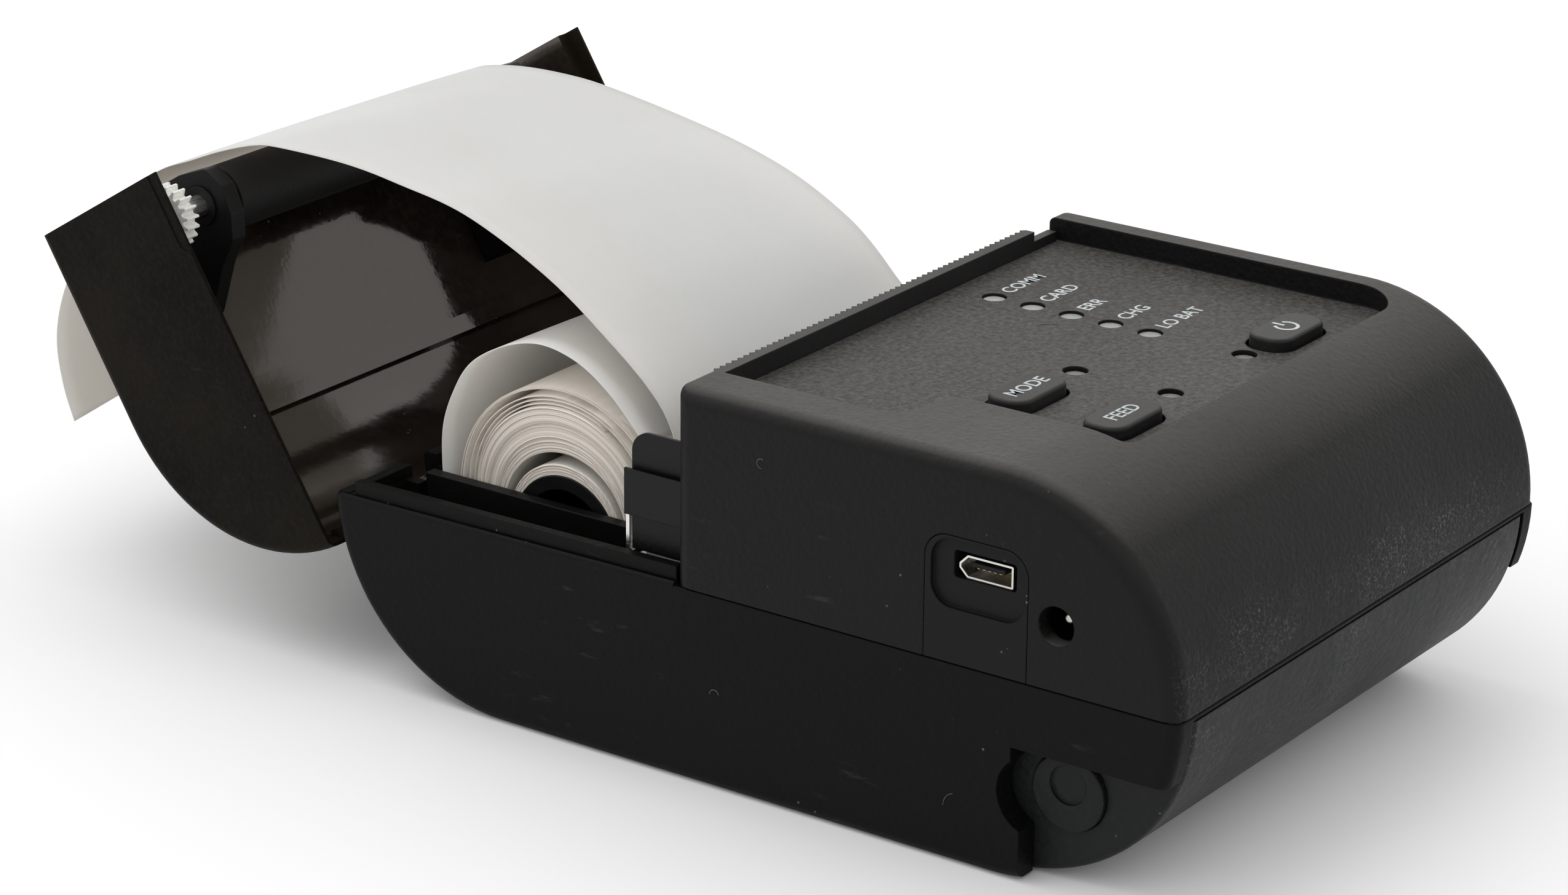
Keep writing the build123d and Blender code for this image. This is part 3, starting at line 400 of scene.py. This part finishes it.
def mark_door_inside():
    """Gives the faces inside the open door the smooth, glossy side of its material, whose lighter
    base colour is a painted reflection of the paper.
    """
    mesh = nodes["door_shell"].data
    mesh.materials.append(door_inner_reflection_mat.material)
    bore_y, bore_z, bore_radius = 0.0358, 0.0246, 0.0242     # the closed door's inner curve
    half_inside = 0.0415
    turn = math.radians(-DOOR_OPEN)
    placed = nodes["door_shell"].matrix_world
    for polygon in mesh.polygons:
        point = placed @ polygon.center
        y, z = point.y - HINGE_Y * MM, point.z - HINGE_Z * MM
        shut_y = HINGE_Y * MM + y * math.cos(turn) + z * math.sin(turn)
        shut_z = HINGE_Z * MM + z * math.cos(turn) - y * math.sin(turn)
        from_middle = math.hypot(max(shut_y - bore_y, 0.0), shut_z - bore_z)
        if abs(point.x) < half_inside and from_middle < bore_radius:
            polygon.material_index = 1


mark_door_inside()

# ---------------------------------------------------------------- printed legends
ink = moulded(
    "legend_ink", (0.42, 0.45, 0.46), (0.52, 0.55, 0.56), rough=(0.5, 0.65), grain=3000,
    depth=0.1, dust=0.0, scuff=0.0, seed=36, edge=0.0)
LETTER_SIZE = 2.75                        # in mm


def legend(words, body, x, y, z, centred=False):
    """Printed words lying flat, reading along +X."""
    name = "legend_" + words.replace(" ", "_").lower()
    curve = bpy.data.curves.new(name, "FONT")
    curve.body = words
    curve.size = LETTER_SIZE * MM
    curve.extrude = 0.00001
    curve.offset = 0.00003
    curve.resolution_u = 4
    curve.align_x = "CENTER" if centred else "LEFT"
    curve.align_y = "CENTER"
    holder = bpy.data.objects.new(name + "_curve", curve)
    bpy.context.collection.objects.link(holder)
    bpy.context.view_layer.update()
    mesh = bpy.data.meshes.new_from_object(holder)
    bpy.data.objects.remove(holder)
    mesh.transform(Matrix.Translation((x * MM, y * MM, (z + 0.012) * MM)))
    new_object(name, mesh, body, ink, smooth=False)


LED_WORDS_X, LED_FRONT, LED_PITCH = 16.8, -22.2, 5.75
for row, words in enumerate(("LO BAT", "CHG", "ERR", "CARD", "COMM")):
    legend(words, "case", LED_WORDS_X, LED_FRONT + LED_PITCH * row, PANEL_TOP)
legend("MODE", "mode_button", -15.1, -22.9, KEY_TOP, centred=True)
legend("FEED", "feed_button", -15.9, -36.7, KEY_TOP, centred=True)


def power_mark(x, y, z):
    """The standby mark: a broken ring with an upright bar."""
    mesh = bpy.data.meshes.new("power_mark")
    bm = bmesh.new()
    outer, inner = 1.65, 1.2
    half_gap, steps = 38, 40
    half_bar, bar_foot, bar_head = 0.23, 0.3, 2.0

    def corner(across, up):
        return bm.verts.new(((x + across) * MM, (y + up) * MM, (z + 0.02) * MM))

    last = None
    for i in range(steps + 1):
        angle = math.radians(90 + half_gap + (360 - 2 * half_gap) * i / steps)
        pair = [corner(reach * math.cos(angle), reach * math.sin(angle)) for reach in (outer, inner)]
        if last:
            bm.faces.new((last[0], pair[0], pair[1], last[1]))
        last = pair
    bm.faces.new([corner(-half_bar, bar_foot), corner(half_bar, bar_foot),
                  corner(half_bar, bar_head), corner(-half_bar, bar_head)])
    bm.to_mesh(mesh)
    bm.free()
    new_object("legend_power", mesh, "power_button", ink, smooth=False)


power_mark(22.8, -36.5, KEY_TOP)


# ---------------------------------------------------------------- paper
def thin_paper(name, dark, light, glow):
    """Thin fibrous paper that lets some light through, glow giving how much."""
    m = Mat(name)
    fibre = m.noise(900, 6, 0.7, seed=41)
    cloud = m.ramp(m.noise(30, 3, seed=42), [(0.35, 0.0), (0.65, 1.0)])
    tone = m.mix(cloud, colour4(dark), colour4(light))
    tone = m.mix(m.ramp(fibre, [(0.5, 0.0), (0.8, 0.15)]), tone, scaled(dark, 0.85))
    m.set(tone, 0.6, Specular_IOR_Level=0.25)
    m.shader.inputs["Subsurface Weight"].default_value = glow
    m.shader.inputs["Subsurface Radius"].default_value = (1.0, 0.9, 0.78)
    m.shader.inputs["Subsurface Scale"].default_value = 0.0007
    m.bump([(fibre, 0.1, 0.00003), (m.noise(60, 3, seed=44), 0.1, 0.0003)])
    return m


paper = thin_paper("thermal_paper", (0.585, 0.572, 0.545), (0.62, 0.608, 0.585), 0.6)
# the slack turn uses a lighter copy of the same paper; its extra lightness is painted light, not a
# different paper
slack_paper_lightened = thin_paper("thermal_paper_slack_painted_light", (0.77, 0.745, 0.7), (0.82, 0.795, 0.75), 0.8)


def resample(points, count):
    """count points at even spacing along a smooth curve through the given (y, z) points."""
    dense = []
    padded = [points[0]] + list(points) + [points[-1]]
    for i in range(1, len(padded) - 2):
        before, start, end, after = padded[i - 1:i + 3]
        for step in range(12):
            t = step / 12
            dense.append(tuple(
                0.5 * (2 * b + (c - a) * t + (2 * a - 5 * b + 4 * c - d) * t * t
                       + (3 * b - a - 3 * c + d) * t ** 3)
                for a, b, c, d in zip(before, start, end, after)))
    dense.append(tuple(points[-1]))
    reach = [0.0]
    for a, b in zip(dense, dense[1:]):
        reach.append(reach[-1] + math.dist(a, b))
    made = []
    place = 0
    for i in range(count):
        wanted = reach[-1] * i / (count - 1)
        while place < len(reach) - 2 and reach[place + 1] < wanted:
            place += 1
        t = (wanted - reach[place]) / max(reach[place + 1] - reach[place], 1e-9)
        made.append(tuple(a + (b - a) * t for a, b in zip(dense[place], dense[place + 1])))
    return made


def sheet_mesh(name, near, far, half, across, wave, thickness=0.1):
    """A closed thin sheet between a near edge at -half and a far edge at +half, in millimetres."""
    mesh = bpy.data.meshes.new(name)
    bm = bmesh.new()
    rows = len(near)
    layers = []
    for side in (0.5, -0.5):
        grid = []
        for i in range(rows):
            before, after = near[max(i - 1, 0)], near[min(i + 1, rows - 1)]
            run_y, run_z = after[0] - before[0], after[1] - before[1]
            run = math.hypot(run_y, run_z)
            out_y, out_z = -run_z / run, run_y / run
            line = []
            for j in range(across + 1):
                t = j / across
                offset = side * thickness + wave(i / (rows - 1), t)
                y = near[i][0] + (far[i][0] - near[i][0]) * t + out_y * offset
                z = near[i][1] + (far[i][1] - near[i][1]) * t + out_z * offset
                line.append(bm.verts.new(((2 * t - 1) * half * MM, y * MM, z * MM)))
            grid.append(line)
        layers.append(grid)
    top, under = layers
    for i in range(rows - 1):
        for j in range(across):
            bm.faces.new((top[i][j], top[i][j + 1], top[i + 1][j + 1], top[i + 1][j]))
            bm.faces.new((under[i][j], under[i + 1][j], under[i + 1][j + 1], under[i][j + 1]))
        for j, flip in ((0, False), (across, True)):
            ring = (top[i][j], top[i + 1][j], under[i + 1][j], under[i][j])
            bm.faces.new(ring[::-1] if flip else ring)
    for i, flip in ((0, True), (rows - 1, False)):
        for j in range(across):
            ring = (top[i][j], top[i][j + 1], under[i][j + 1], under[i][j])
            bm.faces.new(ring if flip else ring[::-1])
    bmesh.ops.recalc_face_normals(bm, faces=bm.faces)
    bm.to_mesh(mesh)
    bm.free()
    return mesh


# runs of the web as (y, z) in mm, along its left and its right edge
BED_Y, BED_Z, BED_RADIUS = 36.9, 22.9, 19
under = []
for degrees in range(0, -181, -15):
    angle = math.radians(degrees)
    under.append((BED_Y + BED_RADIUS * math.cos(angle), BED_Z + BED_RADIUS * math.sin(angle)))
slack_near = resample([(23.7, 35.1), (25.5, 37.0), (29.2, 40.6), (34.0, 43.6), (39.8, 44.8),
                       (45.6, 43.4), (51.1, 40.0), (54.2, 35.2), (55.9, 29.9)] + under, 150)
slack_far = resample([(23.7, 35.1), (25.7, 37.0), (29.8, 39.6), (34.4, 42.3), (39.9, 43.3),
                      (45.4, 42.1), (50.6, 38.9), (53.8, 34.5), (55.7, 29.6)] + under, 150)
arch_near = resample([
    under[-1], (17.95, 28.0), (18.1, 33.0), (19.8, 38.3), (22.8, 42.3), (28.7, 47.1), (38.5, 53.7),
    (51.2, 59.3), (62.1, 61.4), (71.2, 62.5), (82.6, 62.6), (86.9, 62.0), (92.4, 60.2),
    (97.9, 57.9), (101.7, 56.4), (104.8, 54.6), (110.0, 50.6), (115.2, 45.2), (119.3, 39.6),
    (122.2, 33.4), (123.3, 27.5), (122.4, 21.5), (120.7, 16.9)], 170)
arch_far = resample([
    under[-1], (17.95, 28.0), (18.6, 33.0), (21.4, 37.4), (25.3, 41.0), (29.3, 44.9), (33.6, 48.1),
    (41.3, 52.0), (50.4, 54.9), (61.8, 57.2), (73.5, 59.0), (80.7, 59.5), (88.4, 59.3),
    (94.5, 58.4), (97.2, 57.4), (103.2, 54.3), (109.4, 50.2), (114.4, 44.8), (118.4, 38.4),
    (120.6, 33.0), (121.5, 28.0), (121.2, 24.5)], 170)


def slack_wave(along, across):
    return 0.25 * math.sin(9 * along + 2.2 * across) * math.sin(math.pi * across)


def arch_wave(along, across):
    fade = min(1.0, along * 8)
    bow = 0.55 * math.sin(math.pi * across) * math.sin(math.pi * along)
    return fade * (bow + 0.22 * math.sin(14 * along + 3 * across) * math.sin(math.pi * across))


slack_turn = new_object(
    "slack_turn", sheet_mesh("slack_turn", slack_near, slack_far, PAPER_HALF, 20, slack_wave),
    "case", slack_paper_lightened)
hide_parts("paper_web")
loose_end = new_object(
    "loose_end", sheet_mesh("loose_end", arch_near, arch_far, PAPER_HALF, 24, arch_wave),
    None, paper)
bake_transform(loose_end)

# ---------------------------------------------------------------- the wound roll
edge_paper = Mat("paper_edges")
from_axis = edge_paper.node("ShaderNodeVectorMath", operation="SUBTRACT")
edge_paper.link(edge_paper.place, from_axis.inputs[0])
from_axis.inputs[1].default_value = (0, 0.0368, 0.0228)
flattened = edge_paper.node("ShaderNodeVectorMath", operation="MULTIPLY")
edge_paper.link(from_axis.outputs[0], flattened.inputs[0])
flattened.inputs[1].default_value = (0, 1, 1)
radius = edge_paper.node("ShaderNodeVectorMath", operation="LENGTH")
edge_paper.link(flattened.outputs[0], radius.inputs[0])
rings = edge_paper.node("ShaderNodeTexNoise", noise_dimensions="1D")
edge_paper.link(radius.outputs["Value"], rings.inputs["W"])
rings.inputs["Scale"].default_value = 5200
rings.inputs["Detail"].default_value = 3
turns = rings.outputs["Fac"]
ring_tone = edge_paper.mix(edge_paper.ramp(turns, [(0.35, 0.0), (0.65, 1.0)]),
                           (0.57, 0.5, 0.435, 1), (0.84, 0.785, 0.715, 1))
face_tone = edge_paper.mix(edge_paper.noise(900, 5, 0.7, seed=46),
                           (0.7, 0.675, 0.62, 1), (0.76, 0.735, 0.68, 1))
side_share = edge_paper.math("ABSOLUTE", edge_paper.normal_part("X"))
side_share = edge_paper.ramp(side_share, [(0.4, 0.0), (0.8, 1.0)])
edge_paper.set(edge_paper.mix(side_share, face_tone, ring_tone), 0.6, Specular_IOR_Level=0.2)
edge_paper.bump([(turns, 0.5, 0.0001), (edge_paper.noise(700, 4, seed=47), 0.15, 0.00004)])


def wound_mesh(name, inner, outer, layers, jitter):
    """A wound ring between two (y, z, radius) circles, with stepped turns on its end faces."""
    mesh = bpy.data.meshes.new(name)
    bm = bmesh.new()
    around = 96
    source = random.Random(len(name))
    rings_left, rings_right = [], []
    for k in range(layers + 1):
        t = k / layers
        y, z, reach = (a + (b - a) * t for a, b in zip(inner, outer))
        for sign, rings_side in ((-1, rings_left), (1, rings_right)):
            x = sign * (PAPER_HALF - abs(source.gauss(0, jitter)))
            ring = []
            for i in range(around):
                angle = 2 * math.pi * i / around
                ring.append(bm.verts.new((
                    x * MM, (y + reach * math.cos(angle)) * MM, (z + reach * math.sin(angle)) * MM)))
            rings_side.append(ring)
    for i in range(around):
        j = (i + 1) % around
        for side in (rings_left, rings_right):
            for k in range(layers):
                bm.faces.new((side[k][i], side[k][j], side[k + 1][j], side[k + 1][i]))
        for k in (0, layers):
            bm.faces.new((rings_left[k][i], rings_left[k][j], rings_right[k][j], rings_right[k][i]))
    bmesh.ops.recalc_face_normals(bm, faces=bm.faces)
    bm.to_mesh(mesh)
    bm.free()
    return mesh


def wound_ring(name, *shape):
    return new_object(name, wound_mesh(name, *shape), "roll", edge_paper, smooth=False)


wound_ring("inner_turns", (36.3, 19.9, 8.15), (36.3, 20.5, 9.0), 8, 0.08)
tight_turns = wound_ring("tight_turns", (36.4, 21.3, 9.75), (37.0, 23.6, 13.3), 30, 0.12)
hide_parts("wound_paper")

TURN_COUNT, TURN_STEPS = 5, 60
LOOSE_HALF = PAPER_HALF - 0.2
loose_path = []
for i in range(TURN_COUNT * TURN_STEPS + 1):
    turn = i / TURN_STEPS
    share = turn / TURN_COUNT
    swell = 0.3 * math.sin(2.3 * turn + 0.8) * math.sin(math.pi * share)
    reach = 13.45 + 3.95 * share + swell
    angle = -2 * math.pi * turn + math.radians(120)
    loose_path.append((37.0 - 0.4 * share + reach * math.cos(angle),
                       23.6 - 0.9 * share + reach * math.sin(angle)))


def loose_wave(along, across):
    return 0.05 * math.sin(60 * along)


loose_turns = new_object(
    "loose_turns",
    sheet_mesh("loose_turns", loose_path, [(y + 0.1, z + 0.1) for y, z in loose_path],
               LOOSE_HALF, 2, loose_wave, thickness=0.16),
    "roll", edge_paper)
for vertex in loose_turns.data.vertices:
    if abs(vertex.co.x) > 0.02:
        wobble = 0.35 * math.sin(vertex.co.z * 90 + vertex.co.y * 60)
        vertex.co.x += math.copysign(1, vertex.co.x) * wobble * MM

# ---------------------------------------------------------------- lint caught on the case
lint_mat = moulded(
    "lint", (0.12, 0.118, 0.11), (0.18, 0.175, 0.16), grain=3000, depth=0.1, dust=0.0, scuff=0.0,
    seed=71, edge=0.0)


def lint(name, centre, plane, radius, start, sweep):
    """A short curled fibre on a surface that two directions span, in mm and degrees."""
    mesh = bpy.data.meshes.new(name)
    bm = bmesh.new()
    across, along = (Vector(direction) for direction in plane)
    normal = across.cross(along)
    steps, thick = 12, 0.035
    rings = []
    for i in range(steps + 1):
        t = i / steps
        angle = math.radians(start + sweep * t)
        out = across * math.cos(angle) + along * math.sin(angle)
        core = Vector(centre) + out * (radius * (1 + 0.35 * t))
        rings.append([bm.verts.new((core + (out * math.cos(a) + normal * math.sin(a)) * thick) * MM)
                      for a in (0, 2.1, 4.2)])
    for first, second in zip(rings, rings[1:]):
        for k in range(3):
            bm.faces.new((first[k], first[(k + 1) % 3], second[(k + 1) % 3], second[k]))
    bm.to_mesh(mesh)
    bm.free()
    new_object(name, mesh, "case", lint_mat)


SIDE_PLANE = (0, -1, 0), (0, 0, 1)
PANEL_PLANE = (1, 0, 0), (0, 1, 0)
side_skin = -CASE_SIDE - 0.04
panel_skin = PANEL_TOP + 0.04
lint("lint_a", (side_skin, -4.6, 43.6), SIDE_PLANE, 0.5, 60, 210)
lint("lint_b", (side_skin, -33.0, 7.5), SIDE_PLANE, 1.6, 120, 70)
lint("lint_c", (side_skin, 2.0, 12.4), SIDE_PLANE, 0.6, 20, 160)
lint("lint_d", (8.0, -12.0, panel_skin), PANEL_PLANE, 1.9, 10, 80)
lint("lint_e", (-30.5, -8.0, panel_skin), PANEL_PLANE, 0.9, 200, 140)

# ---------------------------------------------------------------- floor
FLOOR_REACH = 4
floor_mat = Mat("floor_white")
floor_tone = floor_mat.noise(3, 2, seed=51)
floor_mat.set(floor_mat.mix(floor_tone, (0.93, 0.93, 0.93, 1), (0.96, 0.96, 0.96, 1)), 0.6)
floor_mesh = bpy.data.meshes.new("floor")
floor_mesh.from_pydata([(-FLOOR_REACH, -FLOOR_REACH, 0), (FLOOR_REACH, -FLOOR_REACH, 0),
                        (FLOOR_REACH, FLOOR_REACH, 0), (-FLOOR_REACH, FLOOR_REACH, 0)],
                       [], [(0, 1, 2, 3)])
floor_mesh.materials.append(floor_mat.material)
floor = bpy.data.objects.new("floor", floor_mesh)
bpy.context.collection.objects.link(floor)
